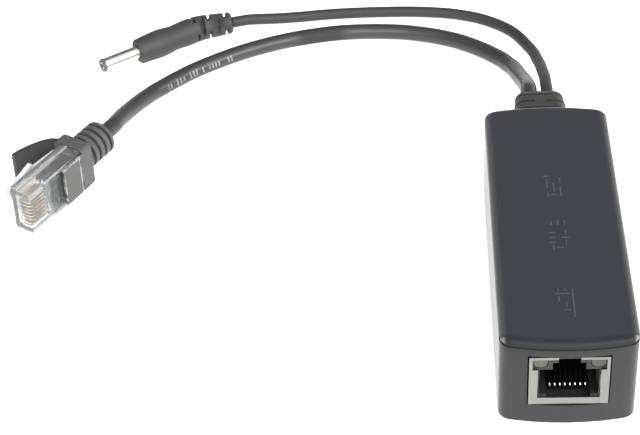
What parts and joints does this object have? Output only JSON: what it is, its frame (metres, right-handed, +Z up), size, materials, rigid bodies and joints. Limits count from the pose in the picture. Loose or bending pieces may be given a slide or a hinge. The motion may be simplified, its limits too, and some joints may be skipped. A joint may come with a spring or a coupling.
{
  "type": "power over ethernet splitter",
  "caption": "Small plastic box with a shielded network jack at one end and two captive leads at the other, one to a network plug and one to a barrel power plug.",
  "frame": {"origin": "middle of the box's underside, on the surface that it rests on", "axes": "+Z up, -Y the way the network jack faces, +Y the end where both leads leave, +X across the box"},
  "size_m": [0.1408, 0.1547, 0.0221],
  "materials": {
    "case": "charcoal moulded plastic, fine matte texture",
    "jacket": "soft dark grey plastic, slight sheen",
    "black_plastic": "black moulded plastic",
    "plated_steel": "dull plated sheet",
    "gold": "gold plated",
    "nickel": "nickel plated",
    "lens_left": "unlit olive indicator lens",
    "lens_right": "unlit grey green indicator lens",
    "board": "green coated glass fibre board",
    "package": "black moulding compound",
    "ferrite": "dark grey ferrite",
    "tape": "yellow winding tape",
    "sleeve": "dark printed sleeve",
    "clear": "clear moulded plastic",
    "wire": "wire insulation"
  },
  "bodies": {
    "root": {"base_shell": "case", "top_cover": "case", "jack_shield": "plated_steel", "jack_body": "black_plastic", "jack_contact_1": "gold", "jack_contact_2": "gold", "jack_contact_3": "gold", "jack_contact_4": "gold", "jack_contact_5": "gold", "jack_contact_6": "gold", "jack_contact_7": "gold", "jack_contact_8": "gold", "lamp_lens_left": "lens_left", "lamp_lens_right": "lens_right", "circuit_board": "board", "network_transformer": "package", "bridge_rectifier_1": "package", "bridge_rectifier_2": "package", "input_capacitor": "sleeve", "output_inductor": "ferrite", "transformer_core": "ferrite", "transformer_bobbin": "package", "transformer_winding": "tape", "output_capacitor": "sleeve", "controller_chip": "package", "output_diode": "package", "strain_relief": "jacket", "network_cable": "jacket", "power_cable": "jacket", "plug_housing": "clear", "plug_boot": "jacket", "plug_contact_1": "gold", "plug_contact_2": "gold", "plug_contact_3": "gold", "plug_contact_4": "gold", "plug_contact_5": "gold", "plug_contact_6": "gold", "plug_contact_7": "gold", "plug_contact_8": "gold", "plug_wire_1": "wire", "plug_wire_2": "wire", "plug_wire_3": "wire", "plug_wire_4": "wire", "plug_wire_5": "wire", "plug_wire_6": "wire", "plug_wire_7": "wire", "plug_wire_8": "wire", "power_plug_handle": "jacket", "power_plug_barrel": "nickel", "power_plug_insulator": "black_plastic", "power_plug_contact": "nickel"}
  },
  "joints": []
}
